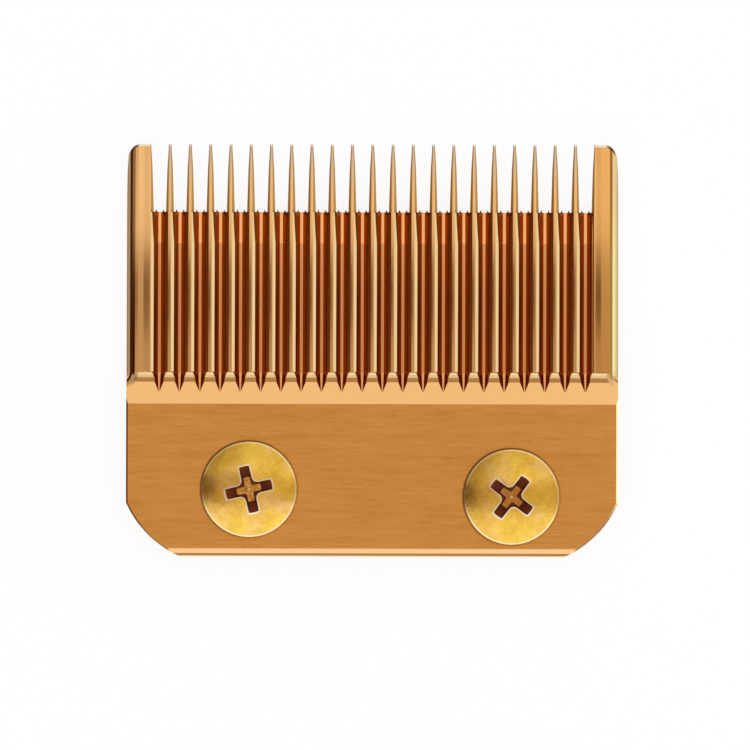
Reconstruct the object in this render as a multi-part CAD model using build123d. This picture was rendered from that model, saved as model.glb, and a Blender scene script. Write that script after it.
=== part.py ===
from build123d import *
from math import asin, cos, degrees, hypot, radians, sin, sqrt, tan
import os

# Fixed comb blade of a hair clipper with its two fixing screws, in millimetres.
# X runs across the blade, Y from the heel towards the tooth tips, Z out of the front face.
# The origin is on the flat back, midway between the two screw holes.

# Plate
blade_width = 45.0
tip_reach = 31.93  # screw-hole line to the tooth tips
heel_reach = 5.8  # screw-hole line to the heel edge
body_thickness = 3.0
corner_rise = 4.9  # height of each rounded heel corner along the side
corner_run = 4.9  # width of each rounded heel corner along the heel
corner_radius = 9.6
heel_bevel_width = 0.45
heel_bevel_angle = 16.0
heel_edge_radius = 0.3
side_edge_width = 0.16
side_edge_depth = 0.09

# Band and step between the flat body and the tooth roots
band_width = 2.0
band_angle = 9.0
step_width = 0.9
step_drop = 0.36

# Teeth
inner_teeth = 21
tooth_pitch = 1.857
tooth_length = 20.88  # tip to root
tooth_face_width = 0.3
tip_thickness = 0.42
tip_edge_thickness = 0.26
tip_nose_length = 0.2
face_crown = 0.36  # bulge of the ground tooth face above its chord
tine_corner_width = 1.2
tine_corner_length = 1.9

# Grooves between the teeth
groove_depth = 0.85
groove_floor_width = 0.25
groove_edge_width = 0.245  # bevel along each tooth edge, seen from the front
groove_edge_depth = 0.19
crease_setback = 9.06  # tip to the line where the groove floor turns down
crease_angle = 9.0
runout_reach = 1.77  # tooth root to the pointed end of the groove on the band
runout_point_width = 0.1

# Open slots between the tips
slot_length = 6.21
slot_draft = 10.5
slot_end_tooth = 0.73  # tooth width on the back at the closed end of the slot
slot_middle_tooth = 0.5  # the same at the middle station
slot_tip_tooth = 0.23  # the same at the tip
slot_middle_setback = 2.25
cusp_place = 0.33  # middle of the slot to each cusp left by the slitting wheels at its end
cusp_width = 0.2
cusp_length = 0.24

# Rounded outer edge of each end tine, which turns out to the side at the tooth root
tine_roll_radius = 1.05
tine_roll_steps = 6  # narrow facets that the rounding is ground in
tine_turn_radius = 0.7
tine_turn_core = 0.1  # what the turning cutter leaves clear round its axis

# Hollow ground across the back
hollow_line = 14.0  # screw-hole line to the middle of the hollow
hollow_width = 16.0
hollow_depth = 0.12

# Screws and their holes
hole_spacing = 24.0
hole_clearance = 0.9  # radial play that lets the blade be aligned
thread_gap = 0.07  # play left between hole and thread on the side that each screw leans to
screw_leans = (24.0, -22.0)  # direction that each screw leans to in its hole, in degrees
screw_turns = (12.8, 52.8)  # direction of each cross recess, in degrees
thread_diameter = 4.0
neck_diameter = 3.5  # plain neck inside the blade
thread_start = 0.15  # back of the blade to the first full thread
screw_reach = 2.9  # back of the blade to the screw's end
screw_end_chamfer = 0.4
head_diameter = 8.7
head_rim = 1.1
head_crown = 0.75
head_rim_break = 0.2
recess_span = 4.44
recess_arm = 1.0
recess_corner_radius = 0.55
recess_floor_arm = 0.58
recess_floor_corner_radius = 0.2
recess_depth = 2.2
recess_cone_angle = 29.0
recess_edge_break = 0.12

# Lines across the blade, measured from the screw-hole line
root_line = tip_reach - tooth_length
crest_line = root_line - step_width
band_line = crest_line - band_width
crease_line = tip_reach - crease_setback
slot_line = tip_reach - slot_length
slot_middle_line = tip_reach - slot_middle_setback

# Heights above the back
crest_height = body_thickness - band_width * tan(radians(band_angle))
root_height = crest_height - step_drop

# Arc of the ground tooth face, from the root to the nose of the tips
nose_line = tip_reach - tip_nose_length
face_run = nose_line - root_line
face_fall = root_height - tip_thickness
face_chord = hypot(face_run, face_fall)
face_radius = (face_chord / 2) ** 2 / (2 * face_crown) + face_crown / 2
face_centre_depth = face_radius - face_crown
face_centre_y = (root_line + nose_line) / 2 - face_centre_depth * face_fall / face_chord
face_centre_z = (root_height + tip_thickness) / 2 - face_centre_depth * face_run / face_chord
face_axis = Axis((0, face_centre_y, face_centre_z), (-1, 0, 0))

margin = 1.0  # how far each cutter runs clear of the blade
gap_count = inner_teeth + 1
gap_places = [(i - (gap_count - 1) / 2) * tooth_pitch for i in range(gap_count)]


def face_height(y, depth=0.0):
    """Height above the back, at y, of the tooth face or of the arc that lies depth below it."""
    return face_centre_z + sqrt((face_radius - depth) ** 2 - (y - face_centre_y) ** 2)


def face_turn(y):
    """Angle about the face axis from its top to the tooth face at y, in degrees."""
    return degrees(asin((y - face_centre_y) / face_radius))


# Heights of the groove floor at the crease and at the closed end of the slot
crease_height = face_height(crease_line, groove_depth)
slot_floor_height = crease_height - (slot_line - crease_line) * tan(radians(crease_angle))


def side_profile():
    """Section of the blade from heel to tips, before the teeth are cut."""
    heel = -heel_reach
    bevel_start = heel + heel_edge_radius + heel_bevel_width
    bevel_end_height = body_thickness - heel_bevel_width * tan(radians(heel_bevel_angle))
    arc_top = (bevel_start - heel_bevel_width, bevel_end_height)
    arc_foot = (heel, bevel_end_height - heel_edge_radius)
    root = (root_line, root_height)
    crest = (crest_line, crest_height)
    with BuildSketch(Plane.YZ) as profile:
        with BuildLine():
            Line((heel, 0), (tip_reach, 0))
            Line((tip_reach, 0), (tip_reach, tip_edge_thickness))
            Line((tip_reach, tip_edge_thickness), (nose_line, tip_thickness))
            middle = (root_line + nose_line) / 2
            ThreePointArc((nose_line, tip_thickness), (middle, face_height(middle)), root)
            slope = radians(face_turn(root_line))
            TangentArc(root, crest, tangent=(-cos(slope), sin(slope)))
            Line(crest, (band_line, body_thickness))
            Line((band_line, body_thickness), (bevel_start, body_thickness))
            Line((bevel_start, body_thickness), arc_top)
            bevel = radians(heel_bevel_angle)
            TangentArc(arc_top, arc_foot, tangent=(-cos(bevel), -sin(bevel)))
            Line(arc_foot, (heel, 0))
        make_face()
    return profile.sketch


def front_outline():
    """Outline of the blade seen from the front, with its tine corners and heel corners rounded."""
    side = blade_width / 2
    heel = -heel_reach
    shoulder = tip_reach - tine_corner_length
    with BuildSketch(Plane.XY) as outline:
        with BuildLine() as half:
            Line((0, heel), (side - corner_run, heel))
            RadiusArc((side - corner_run, heel), (side, heel + corner_rise), -corner_radius)
            Line((side, heel + corner_rise), (side, shoulder))
            EllipticalCenterArc(
                (side - tine_corner_width, shoulder), tine_corner_width, tine_corner_length, arc_size=90
            )
            Line((side - tine_corner_width, tip_reach), (0, tip_reach))
            mirror(half.line, about=Plane.YZ)
        make_face()
    return outline.sketch


def plate():
    """The blank: side profile carried across the blade and trimmed to the front outline."""
    across = extrude(side_profile(), blade_width / 2 + margin, both=True)
    upright = extrude(front_outline(), body_thickness + margin)
    blank = across & upright
    body_face = blank.faces().filter_by(Axis.Z).sort_by(Axis.Z)[-1]
    side_edges = [
        edge for edge in body_face.edges() if abs(edge.center().X) > blade_width / 2 - corner_run
    ]
    return chamfer(side_edges, side_edge_width, side_edge_depth, reference=body_face)


def groove_section(depth_to_top, floor_width=groove_floor_width):
    """Section of a groove: narrow flat floor, steep flanks, open depth_to_top above the floor."""
    floor = floor_width / 2
    edge = (tooth_pitch - tooth_face_width) / 2 - groove_edge_width
    lean = (edge - groove_floor_width / 2) / (groove_depth - groove_edge_depth)
    top = floor + lean * depth_to_top
    return Polygon((-floor, 0), (floor, 0), (top, depth_to_top), (-top, depth_to_top), align=None)


def edge_bevel_section():
    """Section that bevels the tooth edges on both sides of a groove; zero height is the tooth face."""
    mouth = (tooth_pitch - tooth_face_width) / 2
    foot = mouth - groove_edge_width
    rise = groove_edge_depth * foot / groove_edge_width
    return Polygon((-mouth, 0), (0, -groove_edge_depth - rise), (mouth, 0), align=None)


def upright_plane(y, z=0.0):
    """Plane across the blade at y, for a section drawn with its zero height at z."""
    return Plane((0, y, z), x_dir=(1, 0, 0), z_dir=(0, -1, 0))


def square_to_face(section, depth, y):
    """Place a section square to the tooth face at y, with its zero height depth below the face."""
    upright = upright_plane(face_centre_y, face_centre_z + face_radius - depth) * section
    return upright.rotate(face_axis, face_turn(y))


def along_face(section, depth, start_line, end_line):
    """Carry a section along the arc that lies depth below the tooth face."""
    start = square_to_face(section, depth, start_line)
    return revolve(start, face_axis, face_turn(end_line) - face_turn(start_line))


def straight_run(section, start, end):
    """Carry a section along the straight line between two (y, z) points of the groove floor."""
    path = Vector(0, end[0] - start[0], end[1] - start[1])
    return extrude(upright_plane(*start) * section, path.length, dir=path)


def groove_cutter():
    """One groove: an arc below the tooth face, a steeper run to the slot and a pointed end on the band."""
    depth_to_top = groove_depth + margin
    section = groove_section(depth_to_top)
    point_line = root_line - runout_reach
    point_height = body_thickness - max(0, point_line - band_line) * tan(radians(band_angle))
    runout = loft(
        [
            upright_plane(root_line, root_height - groove_depth) * section,
            upright_plane(point_line, point_height) * groove_section(depth_to_top, runout_point_width),
        ],
        ruled=True,
    )
    return (
        along_face(section, groove_depth, root_line, slot_line)
        + along_face(edge_bevel_section(), 0, root_line, slot_line)
        + straight_run(section, (crease_line, crease_height), (slot_line, slot_floor_height))
        + runout
    )


def slot_cutter():
    """One open slot between two tips, wider towards the tips and the front, with two cusps at its closed end."""
    lean = tan(radians(slot_draft))
    low = -margin
    high = body_thickness

    def station(y, tooth):
        gap = (tooth_pitch - tooth) / 2
        return upright_plane(y) * Polygon(
            (-gap - low * lean, low),
            (gap + low * lean, low),
            (gap + high * lean, high),
            (-gap - high * lean, high),
            align=None,
        )

    past_tip = slot_tip_tooth + (slot_tip_tooth - slot_middle_tooth) * margin / slot_middle_setback
    stations = [
        station(slot_line, slot_end_tooth),
        station(slot_middle_line, slot_middle_tooth),
        station(tip_reach + margin, past_tip),
    ]
    cusp = Polygon((-cusp_width / 2, 0), (cusp_width / 2, 0), (0, cusp_length), align=None)
    post = extrude(cusp, margin + slot_floor_height)
    return loft(stations, ruled=True) - [Pos(x, slot_line, low) * post for x in (-cusp_place, cusp_place)]


def tine_roll():
    """Cutters that round the outer edge of the right end tine and turn out to the side at the tooth root."""
    side = blade_width / 2
    inner = side - tine_roll_radius
    outer = side + tine_turn_radius - tine_turn_core
    turns = [radians(90 * i / tine_roll_steps) for i in range(tine_roll_steps + 1)]
    facets = [(inner + tine_roll_radius * sin(t), tine_roll_radius * (cos(t) - 1)) for t in turns]
    section = Polygon(*facets, (outer, -tine_roll_radius), (outer, margin), (inner, margin), align=None)
    square_up = (0, root_line - face_centre_y, root_height - face_centre_z)
    turn_axis = Axis((side + tine_turn_radius, root_line, root_height), square_up)
    turn = revolve(square_to_face(section, 0, root_line), turn_axis, 90)
    return [along_face(section, 0, root_line, tip_reach + margin), turn]


def fixed_blade():
    """The finished comb blade."""
    groove = groove_cutter()
    slot = slot_cutter()
    tools = [Pos(X=x) * cutter for x in gap_places for cutter in (groove, slot)]
    right = tine_roll()
    tools += right + [mirror(cutter, about=Plane.YZ) for cutter in right]
    hole_radius = thread_diameter / 2 + hole_clearance
    hole = Cylinder(hole_radius, 2 * (body_thickness + margin))
    tools += [Pos(X=x) * hole for x in (-hole_spacing / 2, hole_spacing / 2)]
    hollow_radius = (hollow_width**2 / 4 + hollow_depth**2) / (2 * hollow_depth)
    hollow = Cylinder(hollow_radius, blade_width + 2 * margin, rotation=(0, 90, 0))
    tools.append(Pos(Y=hollow_line, Z=hollow_depth - hollow_radius) * hollow)
    return plate() - tools


def cross_outline(arm, corner_radius):
    """Cross of two bars, arm wide, with its inner corners rounded."""
    length = recess_span + margin
    cross = Rectangle(length, arm) + Rectangle(arm, length)
    corners = [v for v in cross.vertices() if hypot(v.X, v.Y) < arm]
    return fillet(corners, corner_radius)


def cross_recess(crown_radius):
    """Cross recess below the crown of a screw head whose top is at zero height."""
    mouth = cross_outline(recess_arm, recess_corner_radius)
    floor = Pos(Z=-recess_depth) * cross_outline(recess_floor_arm, recess_floor_corner_radius)
    lean = tan(radians(recess_cone_angle))
    mouth_drop = crown_radius - sqrt(crown_radius**2 - (recess_span / 2) ** 2)
    top_radius = recess_span / 2 + (mouth_drop + margin) * lean
    floor_radius = recess_span / 2 - (recess_depth - mouth_drop) * lean
    height = recess_depth + margin
    cone = Cone(floor_radius, top_radius, height, align=(Align.CENTER, Align.CENTER, Align.MIN))
    arms = loft([floor, mouth], ruled=True) + extrude(mouth, margin)
    return arms & Pos(Z=-recess_depth) * cone


def screw():
    """One screw with its head seat at zero height and its thread pointing down."""
    head = head_diameter / 2
    thread = thread_diameter / 2
    neck = neck_diameter / 2
    end = -body_thickness - screw_reach
    first_thread = -body_thickness - thread_start
    neck_end = first_thread + thread - neck
    crown_radius = (head**2 + head_crown**2) / (2 * head_crown)
    top = head_rim + head_crown
    with BuildSketch(Plane.XZ) as half:
        with BuildLine():
            Polyline(
                (0, top),
                (0, end),
                (thread - screw_end_chamfer, end),
                (thread, end + screw_end_chamfer),
                (thread, first_thread),
                (neck, neck_end),
                (neck, 0),
                (head, 0),
                (head, head_rim),
            )
            RadiusArc((head, head_rim), (0, top), -crown_radius)
        make_face()
        chamfer(half.vertices().sort_by_distance((head, head_rim))[0], head_rim_break)
    body = revolve(half.sketch, Axis.Z) - Pos(Z=top) * cross_recess(crown_radius)
    crown = body.faces().filter_by(GeomType.SPHERE)[0]
    mouth_reach = recess_span / 2 + recess_edge_break
    mouth = [
        edge for edge in crown.edges() if all(hypot(v.X, v.Y) < mouth_reach for v in edge.vertices())
    ]
    return chamfer(mouth, recess_edge_break)


def blade_screws():
    """Both screws, each leaning to one side of its hole and turned as it was tightened."""
    play = hole_clearance - thread_gap
    placed = []
    for side, lean, turn in zip((-1, 1), screw_leans, screw_turns):
        x = side * hole_spacing / 2 + play * cos(radians(lean))
        y = play * sin(radians(lean))
        placed.append(Pos(x, y, body_thickness) * Rot(Z=turn) * screw())
    return Compound(children=placed)


os.makedirs("parts", exist_ok=True)
export_step(fixed_blade(), "parts/fixed_blade.step")
export_step(blade_screws(), "parts/blade_screws.step")
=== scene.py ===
import bmesh
import bpy
import numpy as np
from math import cos, hypot, radians, sin, tan
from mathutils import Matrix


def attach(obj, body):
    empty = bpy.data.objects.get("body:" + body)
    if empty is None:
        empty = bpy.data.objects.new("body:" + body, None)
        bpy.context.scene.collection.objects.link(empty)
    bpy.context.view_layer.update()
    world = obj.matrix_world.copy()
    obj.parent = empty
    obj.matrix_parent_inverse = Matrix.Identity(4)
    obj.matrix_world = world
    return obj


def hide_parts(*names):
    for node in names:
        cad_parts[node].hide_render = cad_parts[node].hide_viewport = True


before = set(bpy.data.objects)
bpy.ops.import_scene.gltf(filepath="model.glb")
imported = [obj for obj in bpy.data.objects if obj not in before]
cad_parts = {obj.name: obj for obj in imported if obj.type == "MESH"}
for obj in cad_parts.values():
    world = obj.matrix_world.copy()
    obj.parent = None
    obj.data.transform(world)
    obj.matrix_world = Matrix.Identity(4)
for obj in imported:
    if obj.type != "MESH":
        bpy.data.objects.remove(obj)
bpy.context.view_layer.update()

# Looks of a gold-coated comb blade lying on a white table under soft studio panels.
# Values are in millimetres unless a name says otherwise; meshes and lamps are in metres.
MM = 0.001

# Camera, straight above the blade
view_centre_x = 0.253
view_centre_y = 10.817
view_width = 68.6
view_roll = 0.15  # in degrees
view_height = 1500.0
front_level = 3.0
sensor_width = 36.0

# Blade lines, as in the part
tip_reach = 31.93
heel_line = -5.8
tooth_length = 20.88
tooth_pitch = 1.857
tooth_face_width = 0.3
body_thickness = 3.0
band_width = 2.0
band_angle = 9.0
step_width = 0.9
step_drop = 0.36
tip_thickness = 0.42
tip_nose_length = 0.2
face_crown = 0.36
blade_side = 22.5
tine_corner_width = 1.2
tine_corner_length = 1.9
tine_roll_radius = 1.05
tine_turn_radius = 0.7
comb_side = 20.6  # middle of the blade to the inner side of each end tine
runout_reach = 1.77
groove_floor_width = 0.25
slot_line = 25.72

# Screws, as in the part
hole_spacing = 24.0
screw_play = 0.83
screw_leans = (24.0, -22.0)
head_diameter = 8.7
head_rim = 1.1
head_crown = 0.75
recess_reach = 2.4
recess_depth = 2.2
neck_radius = 1.75
thread_radius = 2.0
thread_start = -0.15
screw_end = -2.9
screw_end_chamfer = 0.4

# Screw thread and the mesh of the screws
thread_pitch = 0.7
thread_depth = 0.43
thread_crest = 1 / 8  # share of the pitch
thread_root = 1 / 4  # share of the pitch
thread_columns = 96
thread_rows_per_pitch = 28
neck_cut = 1.0
neck_overlap = 0.15
weld_distance = 0.0005
sharp_angle = 28.0  # in degrees
crown_tolerance = 0.15

# Table
table_reach = 2000.0
table_glow = 0.88  # share of white light in what the camera and mirrors see of it
speckle_strength = 0.5

# Lamp over the table
lamp_size = 600.0
lamp_height = 800.0
lamp_power = 4.0  # in watts

# Softness of the borders between zones of the coating
hair = 0.01
seam = 0.05

# Zones of the blade's coating and of its painted highlights and shades
inner_teeth_reach = 20.2  # middle of the blade to the space beside the end tines
tine_blend = 0.3
tip_wear = 0.7  # share of the worn colour at the tips
tip_wear_length = 5.0
tip_wear_end = 0.5
bare_tip_length = 1.5
roll_width = 0.8
highlight_start = 3.0  # tips to the start of the painted highlight on the right tine's rounded edge
highlight_full = 11.0  # tips to its full painted highlight
runout_blend = 0.4
heel_blend_start = 1.5
heel_blend_end = 0.3
# Depths below the tooth face of the painted shade in the cusp marks at the slot ends
cusp_shade_depths = (0.3, 0.4)
# Where the painted shade runs round the outer tine corners
corner_across = (0.0, 0.3)  # shares of the tine corner's width
corner_along = (0.35, 0.6)  # shares of its length
corner_ring = (0.72, 0.82)  # squares of shares of its ellipse
# Painted shade round the screw heads on the body: its ring beyond the head, its strength and its lean
contact_shade_ring = (0.07, 0.24)  # beyond the screw head
contact_shade_strength = 0.65
contact_shade_lean = 0.25

# Upward parts of the normals at which the blade's coating changes, and sideways ones for the slot walls
tilted_limits = (0.955, 0.93)
crest_limits = (0.87, 0.83)
steep_limits = (0.56, 0.7)
wall_limits = (0.25, 0.4)
back_limits = (-0.6, -0.8)
wall_turn = (-0.2, 0.2)

# Zones of the screws' plating, of its painted highlights and of the painted shade in the recess, below the
# crown or from the axis
mouth_drop = (0.015, 0.03)
wall_drop = (0.13, 0.17)
rim_band = (0.16, 0.11)  # painted highlight, inside the head's edge
# the painted highlight spot in the middle of the recess floor, from the axis
floor_highlight_spot = (0.14, 0.07)
right_stain = 0.65  # share of rust on the right recess floor

# Noise of the surfaces: cycles to a millimetre along X, Y and Z, then its detail and roughness
wide_brushing = ((0.45, 4.2, 4.2), 3.0, 0.6)
fine_brushing = ((0.2, 13.0, 13.0), 2.0, 0.6)
polish_marks = ((3.0, 0.25, 3.0), 2.0, 0.5)
polish_haze = ((0.5, 0.5, 0.5), 2.0, 0.5)
screw_gloss = ((1.4, 1.4, 1.4), 3.0, 0.6)
screw_dents = ((0.7, 0.7, 0.7), 1.0, 0.5)
screw_pits = ((4.0, 4.0, 4.0), 2.0, 0.6)
table_speckle = ((900.0, 900.0, 900.0), 2.0, 0.5)  # cycles to a metre

# Patches of such noise, with the values between which they fade in
body_blotches = ((0.16, 0.45, 0.45), 3.0, 0.55, 0.3, 0.7)
body_rows = ((0.012, 1.1, 1.1), 3.0, 0.6, 0.3, 0.7)
body_scuffs = ((0.8, 3.6, 3.6), 2.0, 0.5, 0.68, 0.8)
screw_mottle = ((0.55, 0.55, 0.55), 3.0, 0.55, 0.3, 0.7)
screw_grain = ((2.6, 2.6, 2.6), 3.0, 0.6, 0.3, 0.75)
screw_patches = ((0.42, 0.42, 0.42), 2.0, 0.5, 0.42, 0.62)
recess_tarnish = ((3.2, 3.2, 3.2), 2.0, 0.6, 0.35, 0.7)

# Shares of those patterns in the colours
wide_share = 0.6
line_share = 0.5
blotch_share = 0.25
row_share = 0.25
scuff_share = 0.3
mottle_share = 0.6
front_line_limits = (0.36, 0.64)
back_line_limits = (0.25, 0.75)

# Roughness
polish_roughness = 0.1
haze_roughness = 0.06
satin_roughness = 0.1
brush_roughness = 0.12
screw_roughness_least = 0.17
screw_roughness_range = 0.16
recess_wall_roughness = 0.3
recess_floor_roughness = 0.05

# Relief
brush_relief = 0.004
polish_relief = 0.0005
crown_curve = 0.23  # fall of the tooth crowns beside their tops, to a square millimetre
crown_shift = 0.1  # from the middle of the tooth face to the top of its crown
tine_lean = 0.04
tine_lean_inset = 0.25
tine_lean_width = 0.66
dent_relief = 0.03
pit_relief = 0.005

# Coating colours, linear, with painted highlights and painted shades among them
body_gold = (0.90, 0.435, 0.110, 1.0)
body_gold_deep = (0.738, 0.328, 0.070, 1.0)
face_gold = (0.86, 0.485, 0.19, 1.0)
tine_gold = (0.80, 0.41, 0.12, 1.0)
edge_gold = (0.95, 0.66, 0.33, 1.0)
# painted shade on the steep part of the root step
crest_shade_brown = (0.53, 0.26, 0.09, 1.0)
stripe_gold = (0.90, 0.42, 0.165, 1.0)
flank_brown = (0.70, 0.37, 0.13, 1.0)
# painted shade in the groove run-outs
runout_shade_brown = (0.36, 0.11, 0.03, 1.0)
# duller slot walls, with painted shade on those that face left
wall_dull_and_shade_brown = (0.33, 0.17, 0.07, 1.0)
# painted highlight on slot walls that face right
wall_highlight_pale = (0.88, 0.66, 0.36, 1.0)
grazing_tint = (0.5, 0.33, 0.18, 1.0)
# painted shade on the left tine's rounded side
side_shade_tan = (0.36, 0.28, 0.18, 1.0)
side_gold = (0.88, 0.56, 0.25, 1.0)
# painted highlight on the right tine's rounded side
side_highlight_yellow = (0.68, 0.57, 0.32, 1.0)
# painted highlight on the right tine's rounded edge
roll_highlight_yellow = (1.0, 0.86, 0.37, 1.0)
# painted shade on the left tine's rounded edge
roll_shade_brown = (0.55, 0.30, 0.11, 1.0)
# painted shade round the outer tine corners
corner_shade_brown = (0.20, 0.12, 0.04, 1.0)
# painted highlight along the noses at the tips
nose_highlight_cream = (1.0, 0.92, 0.85, 1.0)
tip_steel = (0.60, 0.50, 0.37, 1.0)
bare_steel = (0.54, 0.50, 0.44, 1.0)
back_gold = (0.80, 0.43, 0.14, 1.0)
# Dark brown of the scuffs, which are wear, and of the painted shade round the screw heads and at the slot ends
scuff_and_shade_brown = (0.20, 0.075, 0.02, 1.0)

# Plating colours of the screws, linear, with painted highlights and painted shade among them
screw_gold_pale = (0.99, 0.65, 0.10, 1.0)
screw_gold_tan = (0.97, 0.61, 0.20, 1.0)
screw_gold_deep = (0.78, 0.43, 0.045, 1.0)
screw_tint = (1.0, 0.9, 0.75, 1.0)
# painted highlights on the rim and along the recess mouth
rim_highlight_gold = (1.0, 0.78, 0.36, 1.0)
mouth_highlight_gold = (0.98, 0.78, 0.52, 1.0)
# painted shade on the recess walls
recess_shade_brown = (0.19, 0.038, 0.014, 1.0)
recess_floor_gold = (0.85, 0.47, 0.13, 1.0)
recess_floor_deep = (0.52, 0.24, 0.025, 1.0)
recess_floor_rust = (0.52, 0.19, 0.045, 1.0)

# Light of the studio and colours of the table, linear
white = (1.0, 1.0, 1.0, 1.0)
table_white = (0.86, 0.86, 0.85, 1.0)
table_white_pale = (0.9, 0.9, 0.9, 1.0)
room_brown = (0.115, 0.03, 0.008, 1.0)
overhead_warm = (0.64, 0.55, 0.47, 1.0)
shade_warm = (0.14, 0.09, 0.05, 1.0)
tip_light = (1.09, 1.09, 1.07, 1.0)
tip_light_far = (0.85, 0.83, 0.80, 1.0)
tip_light_low = (0.47, 0.31, 0.18, 1.0)
nose_light = (0.85, 0.78, 0.66, 1.0)
heel_light = (1.15, 1.2, 1.4, 1.0)
heel_light_low = (0.40, 0.28, 0.14, 1.0)
right_light = (1.9, 1.9, 1.9, 1.0)
right_light_low = (0.92, 0.92, 0.92, 1.0)
right_shade = (0.40, 0.23, 0.075, 1.0)
left_shade = (0.05, 0.02, 0.006, 1.0)
left_light_low = (0.42, 0.27, 0.15, 1.0)

# Studio panels in the slopes u = x / z and v = y / z of a direction: two borders and, where
# there are three values, the softness of both; two values alone are the ends of one soft border.
overhead_left_u = (-0.78, -0.28)
overhead_right_u = (0.95, 1.05)
overhead_v = (-0.35, 0.3, 0.05)
tip_left_u = (-1.5, -1.2)
tip_fade_u = (-0.6, 0.1)
tip_dim = 0.42  # share of the tip panels' light that is left at their left end
tip_v = (0.215, 0.42, 0.015)
tip_far_v = (0.42, 1.0, 0.06)
tip_low_v = (0.9, 1.1)
nose_v = (1.8, 2.6)
ahead = (-0.8, 0.9, 0.2)  # borders in x / y
heel_u = (-0.95, 1.0, 0.1)
heel_v = (-1.1, -0.25, 0.08)
heel_low_u = (-3.0, 3.0, 0.5)
heel_low_v = (-1.0, -1.2)
shade_u = (-0.3, -0.06, 0.03)
shade_v = (0.1, 0.195, 0.02)
left_low_u = (-2.45, -2.65)
left_low_v = (-3.0, 0.0, 0.03)
left_shade_u = (-1.1, -0.62, 0.05)
left_shade_v = (-0.05, 0.255, 0.015)
right_shade_u = (0.93, 1.12, 0.06)
right_shade_v = (-0.4, 1.0, 0.1)
right_low_u = (2.3, 2.5)
right_u = (1.55, 2.4, 0.05)
right_v = (-1.2, 1.2, 0.2)
least_z = 0.04
least_y = 0.05

# Lines, heights and radii that follow from the values above
root_line = tip_reach - tooth_length
crest_line = root_line - step_width
band_line = crest_line - band_width
point_line = root_line - runout_reach
nose_line = tip_reach - tip_nose_length
shoulder_line = tip_reach - tine_corner_length
roll_line = blade_side - roll_width
stripe_reach = groove_floor_width / 2 + seam
root_height = body_thickness - band_width * tan(radians(band_angle)) - step_drop
face_run = nose_line - root_line
face_fall = root_height - tip_thickness
face_chord = hypot(face_run, face_fall)
face_radius = (face_chord / 2) ** 2 / (2 * face_crown) + face_crown / 2
face_centre_depth = face_radius - face_crown
face_centre_y = (root_line + nose_line) / 2 - face_centre_depth * face_fall / face_chord
face_centre_z = (root_height + tip_thickness) / 2 - face_centre_depth * face_run / face_chord
head_radius = head_diameter / 2
crown_radius = (head_radius**2 + head_crown**2) / (2 * head_crown)
crown_top = body_thickness + head_rim + head_crown
recess_floor = crown_top - recess_depth

screw_places = [
    (side * hole_spacing / 2 + screw_play * cos(radians(lean)), screw_play * sin(radians(lean)))
    for side, lean in zip((-1, 1), screw_leans)
]


class Wire:
    """A shader socket; arithmetic on it adds Math nodes to its tree."""

    def __init__(self, tree, socket=None):
        self.tree = tree
        self.socket = socket

    def add(self, kind, inputs=None, output=0, **settings):
        """Adds a node of that kind, its settings first and then its inputs, and gives one output."""
        node = self.tree.nodes.new(kind)
        for name, value in settings.items():
            setattr(node, name, value)
        for name, value in (inputs or {}).items():
            if isinstance(value, Wire):
                self.tree.links.new(value.socket, node.inputs[name])
            else:
                node.inputs[name].default_value = value
        return Wire(self.tree, node.outputs[output] if node.outputs else None)

    def math(self, operation, *values):
        """A Math node of that operation on these values, in order."""
        return self.add("ShaderNodeMath", dict(enumerate(values)), operation=operation)

    def __add__(self, other):
        return self.math("ADD", self, other)

    def __radd__(self, other):
        return self.math("ADD", other, self)

    def __sub__(self, other):
        return self.math("SUBTRACT", self, other)

    def __rsub__(self, other):
        return self.math("SUBTRACT", other, self)

    def __mul__(self, other):
        return self.math("MULTIPLY", self, other)

    def __rmul__(self, other):
        return self.math("MULTIPLY", other, self)

    def __truediv__(self, other):
        return self.math("DIVIDE", self, other)

    def __rtruediv__(self, other):
        return self.math("DIVIDE", other, self)

    def least(self, other):
        """The smaller of two values."""
        return self.math("MINIMUM", self, other)

    def most(self, other):
        """The larger of two values."""
        return self.math("MAXIMUM", self, other)

    def size(self):
        """The value without its sign."""
        return self.math("ABSOLUTE", self)

    def root(self):
        """Square root."""
        return self.math("SQRT", self)

    def step(self, low, high):
        """Goes smoothly from 0 at low to 1 at high; high may be the smaller of the two."""
        return self.add(
            "ShaderNodeMapRange",
            {"Value": self, "From Min": low, "From Max": high},
            interpolation_type="SMOOTHSTEP",
        )

    def between(self, low, high, soft):
        """1 between low and high, with edges that reach soft to both sides."""
        return self.step(low - soft, low + soft) * (1 - self.step(high - soft, high + soft))

    def parts(self):
        """The three coordinates of a vector."""
        return [self.add("ShaderNodeSeparateXYZ", {"Vector": self}, output=i) for i in range(3)]

    def scaled(self, x, y, z):
        """A vector with its coordinates multiplied by x, y and z."""
        return self.add("ShaderNodeVectorMath", {0: self, 1: (x, y, z)}, operation="MULTIPLY")

    def noise(self, cycles, detail, roughness):
        """Noise at a vector, about 0.5 on average, with that many cycles along each coordinate."""
        inputs = {"Vector": self.scaled(*cycles), "Scale": 1.0, "Detail": detail, "Roughness": roughness}
        return self.add("ShaderNodeTexNoise", inputs)

    def patches(self, cycles, detail, roughness, low, high):
        """Patches of noise: 0 where it is under low and 1 where it is over high."""
        return self.noise(cycles, detail, roughness).step(low, high)

    def colour(self, low, high):
        """A colour between low at 0 and high at 1."""
        return self.add("ShaderNodeMix", {0: self, 6: low, 7: high}, output=2, data_type="RGBA")


def new_tree(owner):
    """An empty node tree of a material or world."""
    owner.use_nodes = True
    owner.node_tree.nodes.clear()
    return Wire(owner.node_tree)


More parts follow.
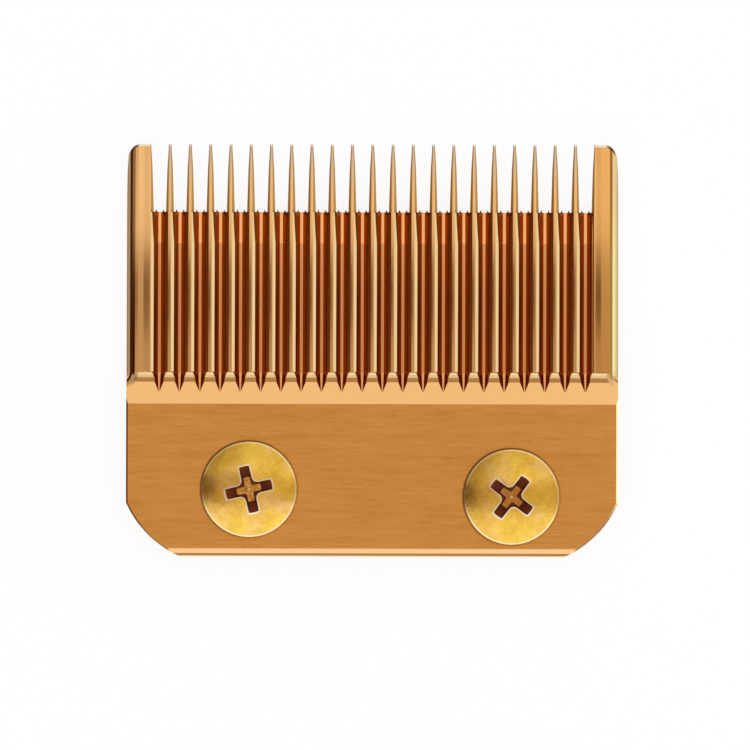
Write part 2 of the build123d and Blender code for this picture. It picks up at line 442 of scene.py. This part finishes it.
def metal(name, base, roughness, height, bare, tint):
    """A metal, with its colour from the point and the direction that the surface faces there.

    Its roughness, relief and bareness come from the point alone.
    """
    material = bpy.data.materials.new(name)
    tree = new_tree(material)
    point = tree.add("ShaderNodeTexCoord", output="Object").scaled(1 / MM, 1 / MM, 1 / MM)
    facing = tree.add("ShaderNodeTexCoord", output="Normal")
    bump = tree.add("ShaderNodeBump", {"Height": height(point), "Strength": 1.0, "Distance": MM})
    shader = tree.add(
        "ShaderNodeBsdfPrincipled",
        {
            "Metallic": bare(point),
            "Base Color": base(point, facing),
            "Roughness": roughness(point),
            "Specular Tint": tint,
            "Normal": bump,
        },
    )
    tree.add("ShaderNodeOutputMaterial", {"Surface": shader})
    return material


def body_mask(point):
    """1 on the flat brushed front of the body."""
    _, y, z = point.parts()
    behind_band = 1 - y.step(band_line - 3 * hair, band_line + 3 * hair)
    return behind_band * z.step(body_thickness - 2 * hair, body_thickness - hair)


def comb_mask(point):
    """1 where the teeth and their run-outs are, between the end tines."""
    x, y, _ = point.parts()
    before_points = y.step(point_line - 2 * seam, point_line)
    return before_points * (1 - x.size().step(comb_side - seam, comb_side + seam))


def inner_teeth(x):
    """1 across the inner teeth and 0 on the end tines."""
    return x.size().step(inner_teeth_reach, inner_teeth_reach - 2 * seam)


def tine_roll(x):
    """1 across the rounded outer edge of the right end tine."""
    return x.step(roll_line - seam, roll_line + seam)


def tine_corner(point):
    """1 along the rounded outer corners of the end tines, where an ellipse of their size nears 1: the place of
    their painted shade.
    """
    x, y, _ = point.parts()
    across = (x.size() - blade_side + tine_corner_width) / tine_corner_width
    along = (y - shoulder_line) / tine_corner_length
    outer = across.step(*corner_across) * along.step(*corner_along)
    return outer * (across * across + along * along).step(*corner_ring)


def from_nearest(x, shift):
    """Distance along X to the nearest tooth middle; with a shift of 0.5, to the nearest groove middle."""
    turns = x / tooth_pitch - shift
    return (turns - turns.math("ROUND", turns)) * tooth_pitch


def depth_below_face(point):
    """Depth below the ground tooth face: the face's radius less the distance from its axis."""
    _, y, z = point.parts()
    across = y - face_centre_y
    up = z - face_centre_z
    return face_radius - (across * across + up * up).root()


def screw_offset(point):
    """Offsets along X and Y from the nearer screw's axis."""
    x, y, _ = point.parts()
    right = x.step(-hair, hair)
    left_place, right_place = screw_places
    across = x - left_place[0] - right * (right_place[0] - left_place[0])
    along = y - left_place[1] - right * (right_place[1] - left_place[1])
    return across, along


def screw_polar(point):
    """Distance from the nearer screw's axis, and the depth below the sphere of its crown."""
    across, along = screw_offset(point)
    radius = (across * across + along * along).root()
    crown = crown_top - crown_radius + (crown_radius**2 - radius * radius).root()
    return radius, crown - point.parts()[2]


def brush_lines(point):
    """Short lines along X: noise that is stretched across the blade, at two widths."""
    return point.noise(*wide_brushing) * wide_share + point.noise(*fine_brushing) * (1 - wide_share)


def head_contact_shade(point):
    """Thin line of painted shade on the body round each screw head, stronger towards the left and the tips."""
    across, along = screw_offset(point)
    radius = (across * across + along * along).root()
    lean = (along - across) / radius
    inner, outer = contact_shade_ring
    ring = 1 - radius.step(head_radius + inner, head_radius + outer)
    return ring * (contact_shade_strength + lean * contact_shade_lean)


def brushed_body(point):
    """Brushed gold with broad blotches, rows of lines and a few short dark scuffs, with a ring of painted shade
    round each screw head.
    """
    lines = brush_lines(point).step(*front_line_limits)
    blotches = point.patches(*body_blotches)
    rows = point.patches(*body_rows)
    shares = lines * line_share + blotches * blotch_share + rows * row_share
    gold = shares.colour(body_gold_deep, body_gold)
    scuffs = point.patches(*body_scuffs) * scuff_share
    # the scuffs are wear; the ring round each screw head is painted shade
    return head_contact_shade(point).colour(scuffs.colour(gold, scuff_and_shade_brown), scuff_and_shade_brown)


def face_base(point):
    """Gold of the flat faces: the ground teeth, greyer where their tips are worn, and the body."""
    x, y, _ = point.parts()
    near_tips = y.step(tip_reach - tip_wear_length, tip_reach - tip_wear_end)
    tips = comb_mask(point) * inner_teeth(x) * near_tips * tip_wear
    worn = y.step(tip_reach - bare_tip_length, tip_reach).colour(tip_steel, bare_steel)
    right_tine = x.step(comb_side - tine_blend, comb_side) * y.step(root_line - seam, root_line)
    ground = tips.colour(right_tine.colour(face_gold, tine_gold), worn)
    return body_mask(point).colour(ground, brushed_body(point))


def front_base(point, flatness):
    """Gold of the faces and of the narrow edges, stripes, rounded tine edges and noses between them, with
    painted highlights on the right tine edge and the noses, and painted shade on the root step, the slot-end
    cusp marks, the left tine edge and the tine corners.
    """
    x, y, _ = point.parts()
    comb = comb_mask(point)
    tilted = flatness.step(*tilted_limits)
    root = y.between(crest_line, root_line, 2 * hair)
    base = root.most(tilted).colour(face_base(point), edge_gold)
    # painted shade: a darker line on the steep part of the root step
    base = (root * flatness.step(*crest_limits)).colour(base, crest_shade_brown)
    stripe = from_nearest(x, 0.5).size().step(stripe_reach + hair, stripe_reach - hair)
    base = (comb * stripe).colour(base, stripe_gold)
    slot_end = y.step(slot_line, slot_line + 2 * hair)
    # painted shade: dark cusp marks where the grooves end at the through slots
    cusp_shade = comb * slot_end * depth_below_face(point).step(*cusp_shade_depths)
    base = cusp_shade.colour(base, scuff_and_shade_brown)
    # painted highlight: the right tine's rounded edge turns yellow from a little behind the tips towards the
    # root
    right_roll = tine_roll(x) * y.step(root_line - tine_turn_radius, root_line)
    right_roll_highlight = right_roll * y.step(tip_reach - highlight_start, tip_reach - highlight_full)
    base = (right_roll_highlight * tilted).colour(base, roll_highlight_yellow)
    # painted shade along the left tine's rounded edge
    left_roll_shade = tine_roll(x * -1) * y.step(root_line - seam, root_line + seam)
    base = (left_roll_shade * tilted).colour(base, roll_shade_brown)
    # painted highlight along the noses at the tips
    base = y.step(nose_line - 2 * hair, nose_line + 2 * hair).colour(base, nose_highlight_cream)
    # painted shade: a dark line round the rounded outer corners of the end tines
    return tine_corner(point).colour(base, corner_shade_brown)


def steep_base(point, sideways, flatness):
    """Gold of the steep surfaces: groove flanks and slot walls in the comb, and the blade's sides, with painted
    shade in the run-outs and painted shade and highlights on the slot walls and the rounded tine sides.
    """
    x, y, _ = point.parts()
    # slot walls: painted shade where they face left, over their own duller colour, and a painted highlight
    # where they face right
    wall = sideways.step(*wall_turn).colour(wall_dull_and_shade_brown, wall_highlight_pale)
    # painted shade: the flanks darken into the run-outs
    flank = y.step(root_line - runout_blend, root_line + 2 * seam).colour(runout_shade_brown, flank_brown)
    between_teeth = flatness.step(*wall_limits).colour(wall, flank)
    beside_teeth = y.step(root_line - tine_turn_radius, root_line)
    on_roll = depth_below_face(point).step(tine_roll_radius + 2 * seam, tine_roll_radius - 2 * seam)
    # beside the teeth the rounded sides get painted shade on the left and a painted highlight on the right
    roll = (tine_roll(x) * beside_teeth).colour(side_shade_tan, side_highlight_yellow)
    plain = y.step(heel_line + heel_blend_start, heel_line + heel_blend_end).colour(side_gold, edge_gold)
    side = (beside_teeth * on_roll).colour(plain, roll)
    return comb_mask(point).colour(side, between_teeth)


def blade_base(point, facing):
    """Gold coating: one for the front and its edges, one for steep surfaces and one for the back."""
    sideways, _, up = facing.parts()
    flatness = up.size()
    steep = 1 - flatness.step(*steep_limits)
    front = steep.colour(front_base(point, flatness), steep_base(point, sideways, flatness))
    back = brush_lines(point).step(*back_line_limits).colour(body_gold_deep, back_gold)
    return up.step(*back_limits).colour(front, back)


def blade_bare(point):
    """Metal all over."""
    return 1.0


def blade_roughness(point):
    """Satin on the brushed body, nearly polished on the teeth."""
    satin = satin_roughness + brush_lines(point) * brush_roughness
    return body_mask(point) * satin + polish_roughness + point.noise(*polish_haze) * haze_roughness


def blade_height(point):
    """Relief of the brushing and polishing marks, of the tooth crowns and of the lean of the tine faces.

    A crown falls with the square of the distance from its top, which is held to the tooth face.
    """
    x, y, _ = point.parts()
    body = body_mask(point)
    brushing = brush_lines(point) * body * brush_relief
    polish = point.noise(*polish_marks) * (1 - body) * polish_relief
    face_reach = tooth_face_width / 2 + 2 * hair
    from_top = from_nearest(x, 0.0).most(-face_reach).least(face_reach) - crown_shift
    crown = from_top * from_top * inner_teeth(x) * -crown_curve
    inside = comb_side - tine_lean_inset
    outside = inside + tine_lean_width
    lean = (x.step(inside, outside) + x.step(-outside, -inside)) * tine_lean
    return brushing + polish + (crown + lean) * y.step(root_line, root_line + seam)


def recess_masks(point):
    """1 in the mouth of the cross recess and below it, 1 below the mouth, and 1 on the recess floor."""
    radius, drop = screw_polar(point)
    z = point.parts()[2]
    near_axis = 1 - radius.step(recess_reach, recess_reach + 2 * seam)
    within = near_axis * z.step(neck_cut, neck_cut + 2 * seam)
    inside = within * drop.step(*wall_drop)
    floor = inside * z.step(recess_floor + 6 * hair, recess_floor + 3 * hair)
    return within * drop.step(*mouth_drop), inside, floor


def screw_bare(point):
    """Bare metal but for the walls of the recess, which are matt and painted dark as shade."""
    _, inside, floor = recess_masks(point)
    return 1 - inside + floor


def screw_base(point, facing):
    """Yellow plating, mottled at two scales, with painted highlights at the rim, the recess mouth and the
    middle of the recess floor, painted shade on the recess walls, and a tarnished recess floor, rusty in the
    right screw.
    """
    radius, _ = screw_polar(point)
    mouth, inside, floor = recess_masks(point)
    pale = point.patches(*screw_patches).colour(screw_gold_pale, screw_gold_tan)
    mottle = point.patches(*screw_mottle) * mottle_share + point.patches(*screw_grain) * (1 - mottle_share)
    plating = mottle.colour(screw_gold_deep, pale)
    rim_start, rim_full = rim_band
    # painted highlight along the head's rim
    plating = radius.step(head_radius - rim_start, head_radius - rim_full).colour(plating, rim_highlight_gold)
    # painted highlight along the recess mouth, painted shade on the recess walls
    plating = inside.colour(mouth.colour(plating, mouth_highlight_gold), recess_shade_brown)
    stained = point.parts()[0].step(-hair, hair) * right_stain
    tarnished = point.patches(*recess_tarnish).colour(recess_floor_gold, recess_floor_deep)
    # painted highlight spot in the middle of the recess floor
    punched = radius.step(*floor_highlight_spot).colour(stained.colour(tarnished, recess_floor_rust), mouth_highlight_gold)
    return floor.colour(plating, punched)


def screw_roughness(point):
    """Uneven gloss of barrel plating, dull on the recess walls and bright on the punched recess floor."""
    _, inside, floor = recess_masks(point)
    uneven = screw_roughness_least + point.noise(*screw_gloss) * screw_roughness_range
    return (uneven + inside * recess_wall_roughness) * (1 - floor) + floor * recess_floor_roughness


def screw_height(point):
    """Soft dents and fine pits, not in the recess."""
    _, inside, _ = recess_masks(point)
    dents = point.noise(*screw_dents) * dent_relief
    pits = point.noise(*screw_pits) * pit_relief
    return (dents + pits) * (1 - inside)


def mesh_piece(name, vertices, faces):
    """A piece with these vertices, in metres, and these quads."""
    mesh = bpy.data.meshes.new(name)
    mesh.from_pydata(vertices, [], faces)
    mesh.validate()
    piece = bpy.data.objects.new(name, mesh)
    bpy.context.collection.objects.link(piece)
    return piece


def thread_surface(place):
    """One threaded end: at height z and angle a its radius is that of a ridge of phase z/pitch - a/turn.

    The ridge is a trapezoid in its phase. It is held inside a cone at the screw's end, and fades into
    the neck's radius where the thread starts. The first and last rows shrink to a point, so the
    surface is closed.
    """
    top = neck_cut + neck_overlap
    rows = int((top - screw_end) / thread_pitch * thread_rows_per_pitch)
    heights = np.linspace(top, screw_end, rows)[:, None]
    angles = np.linspace(0, 2 * np.pi, thread_columns, endpoint=False)[None, :]
    phase = (heights / thread_pitch - angles / (2 * np.pi)) % 1
    from_crest = np.abs(2 * phase - 1)
    valley = np.clip((from_crest - thread_crest) / (1 - thread_root - thread_crest), 0, 1)
    radius = thread_radius - thread_depth * valley
    cone = thread_radius - screw_end_chamfer + (heights - screw_end)
    started = np.clip((thread_start - heights) / thread_pitch + 1 / 2, 0, 1)
    radius = np.minimum(radius, cone) * started + neck_radius * (1 - started)
    radius = np.vstack([np.zeros((1, thread_columns)), radius, np.zeros((1, thread_columns))])
    heights = np.vstack([[[top]], heights, [[screw_end]]])
    x = place[0] + radius * np.cos(angles)
    y = place[1] + radius * np.sin(angles)
    z = heights + 0 * angles
    return np.stack([x, y, z], axis=-1) * MM


def grid_faces(rows, columns, first):
    """Quads of a grid that closes on itself across its columns, from vertex number first on."""
    row, column = np.meshgrid(np.arange(rows - 1), np.arange(columns), indexing="ij")
    here = row * columns + column
    beside = row * columns + (column + 1) % columns
    quads = np.stack([here, here + columns, beside + columns, beside], axis=-1)
    return quads.reshape(-1, 4) + first


def threaded_ends():
    """Both threaded ends as one mesh."""
    vertices = []
    faces = []
    count = 0
    for place in screw_places:
        surface = thread_surface(place)
        rows, columns, _ = surface.shape
        faces.append(grid_faces(rows, columns, count))
        vertices.append(surface.reshape(-1, 3))
        count += rows * columns
    vertices = np.concatenate(vertices).tolist()
    faces = np.concatenate(faces).tolist()
    return mesh_piece("screw_threads", vertices, faces)


def plated_screws():
    """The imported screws, merged, cut off in their necks and closed there, joined with their threaded ends."""
    form = bmesh.new()
    form.from_mesh(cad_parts["blade_screws"].data)
    bmesh.ops.remove_doubles(form, verts=form.verts[:], dist=weld_distance * MM)
    whole = form.verts[:] + form.edges[:] + form.faces[:]
    cut = bmesh.ops.bisect_plane(
        form, geom=whole, plane_co=(0, 0, neck_cut * MM), plane_no=(0, 0, -1), clear_outer=True
    )
    rim = [part for part in cut["geom_cut"] if isinstance(part, bmesh.types.BMEdge)]
    bmesh.ops.holes_fill(form, edges=rim)
    threads = threaded_ends()
    form.from_mesh(threads.data)
    bmesh.ops.remove_doubles(form, verts=form.verts[:], dist=weld_distance * MM)
    bpy.data.objects.remove(threads)
    mesh = bpy.data.meshes.new("plated_screws")
    form.to_mesh(mesh)
    form.free()
    for layer in [layer for layer in mesh.attributes if layer.name == "custom_normal"]:
        mesh.attributes.remove(layer)
    piece = bpy.data.objects.new("plated_screws", mesh)
    bpy.context.collection.objects.link(piece)
    mesh.shade_smooth()
    mesh.set_sharp_from_angle(angle=radians(sharp_angle))
    true_crowns(mesh)
    return piece


def read(items, name, width, kind=float):
    """One value of every item of a mesh, as rows of that width."""
    values = np.empty(len(items) * width, dtype=kind)
    items.foreach_get(name, values)
    return values.reshape(-1, width) if width > 1 else values


def true_crowns(mesh):
    """Gives the crowns their exact normals, along the lines from the centres of their spheres.

    A face shines with a crown where its middle is near the sphere, as on the crown itself and the
    narrow bevels of rim and recess mouth; all other corners keep the normals they have.
    """
    corners = read(mesh.vertices, "co", 3)[read(mesh.loops, "vertex_index", 1, int)]
    normals = read(mesh.corner_normals, "vector", 3)
    middles = read(mesh.polygons, "center", 3)
    sides = read(mesh.polygons, "loop_total", 1, int)
    for x, y in screw_places:
        centre = np.array([x, y, crown_top - crown_radius]) * MM
        rays = corners - centre
        reach = np.linalg.norm(middles - centre, axis=1) / MM
        on_crown = np.repeat(np.abs(reach - crown_radius) < crown_tolerance, sides)
        normals[on_crown] = (rays / np.linalg.norm(rays, axis=1, keepdims=True))[on_crown]
    mesh.normals_split_custom_set(normals.tolist())


def floor_material():
    """White table that keeps the blade's soft shadow; camera and mirror rays see it close to pure white."""
    material = bpy.data.materials.new("white_table")
    tree = new_tree(material)
    speckle = tree.add("ShaderNodeTexCoord", output="Object").noise(*table_speckle) * speckle_strength
    matt = tree.add("ShaderNodeBsdfDiffuse", {"Color": speckle.colour(table_white, table_white_pale)})
    glow = tree.add("ShaderNodeEmission", {"Color": white, "Strength": 1.0})
    camera_ray = tree.add("ShaderNodeLightPath", output="Is Camera Ray")
    mirror_ray = tree.add("ShaderNodeLightPath", output="Is Glossy Ray")
    glass_ray = tree.add("ShaderNodeLightPath", output="Is Transmission Ray")
    seen = (camera_ray + mirror_ray).most(glass_ray)
    shader = tree.add("ShaderNodeMixShader", {"Fac": seen * table_glow, 1: matt, 2: glow})
    tree.add("ShaderNodeOutputMaterial", {"Surface": shader})
    return material


def table():
    """A wide flat table under the screw ends."""
    reach = table_reach * MM
    level = screw_end * MM
    corners = [(-reach, -reach, level), (reach, -reach, level), (reach, reach, level), (-reach, reach, level)]
    top = mesh_piece("table", corners, [(0, 1, 2, 3)])
    top.data.materials.append(floor_material())


def studio():
    """Soft panels round the blade, each over those before it in the list, in a brown room.

    White ones are towards the tips, the heel and the right, a warm one is overhead, and dark ones give
    the rounded tine edges and the tooth faces their shades. The camera sees plain white.
    """
    world = bpy.data.worlds.new("studio")
    bpy.context.scene.world = world
    tree = new_tree(world)
    x, y, z = tree.add("ShaderNodeTexCoord", output="Generated").parts()
    u = x / z.most(least_z)
    v = y / z.most(least_z)
    before_tips = (x / y.most(least_y)).between(*ahead)
    left_of_right = 1 - u.step(*overhead_right_u)
    overhead = u.step(*overhead_left_u) * left_of_right
    fade = tip_dim + u.step(*tip_fade_u) * (1 - tip_dim)
    near_tips = u.step(*tip_left_u) * fade * left_of_right
    panels = [
        (v.step(*tip_low_v) * before_tips, tip_light_low),
        (v.step(*nose_v) * before_tips, nose_light),
        (v.step(*heel_low_v) * u.between(*heel_low_u), heel_light_low),
        (overhead * v.between(*overhead_v), overhead_warm),
        (near_tips * v.between(*tip_far_v), tip_light_far),
        (near_tips * v.between(*tip_v), tip_light),
        (u.between(*heel_u) * v.between(*heel_v), heel_light),
        (u.between(*shade_u) * v.between(*shade_v), shade_warm),
        (u.step(*left_low_u) * v.between(*left_low_v), left_light_low),
        (u.between(*left_shade_u) * v.between(*left_shade_v), left_shade),
        (u.between(*right_shade_u) * v.between(*right_shade_v), right_shade),
        (u.step(*right_low_u), right_light_low),
        (u.between(*right_u) * v.between(*right_v), right_light),
    ]
    lit = room_brown
    for share, light in panels:
        lit = share.colour(lit, light)
    room = tree.add("ShaderNodeBackground", {"Color": lit, "Strength": 1.0})
    plain = tree.add("ShaderNodeBackground", {"Color": white, "Strength": 1.0})
    camera_ray = tree.add("ShaderNodeLightPath", output="Is Camera Ray")
    shader = tree.add("ShaderNodeMixShader", {"Fac": camera_ray, 1: room, 2: plain})
    tree.add("ShaderNodeOutputWorld", {"Surface": shader})


def soft_lamp():
    """A wide lamp overhead that no metal mirrors: it gives the table the blade's soft shadow."""
    light = bpy.data.lights.new("soft_lamp", "AREA")
    light.size = lamp_size * MM
    light.energy = lamp_power
    lamp = bpy.data.objects.new("soft_lamp", light)
    lamp.location = (view_centre_x * MM, view_centre_y * MM, lamp_height * MM)
    lamp.visible_camera = False
    lamp.visible_glossy = False
    bpy.context.collection.objects.link(lamp)


def camera():
    """Camera straight above the blade, with the tips at the top of the picture."""
    lens = bpy.data.cameras.new("camera")
    lens.sensor_width = sensor_width
    lens.lens = sensor_width * view_height / view_width
    viewer = bpy.data.objects.new("camera", lens)
    viewer.rotation_euler = (0, 0, radians(view_roll))
    viewer.location = (view_centre_x * MM, view_centre_y * MM, (front_level + view_height) * MM)
    bpy.context.collection.objects.link(viewer)
    bpy.context.scene.camera = viewer


coated_steel = metal("coated_steel", blade_base, blade_roughness, blade_height, blade_bare, grazing_tint)
screw_plating = metal("screw_plating", screw_base, screw_roughness, screw_height, screw_bare, screw_tint)

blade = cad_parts["fixed_blade"]
blade.data.materials[0] = coated_steel

screws = plated_screws()
screws.data.materials.append(screw_plating)
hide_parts("blade_screws")
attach(screws, "root")

table()
studio()
soft_lamp()
camera()
bpy.context.scene.view_settings.view_transform = "Standard"
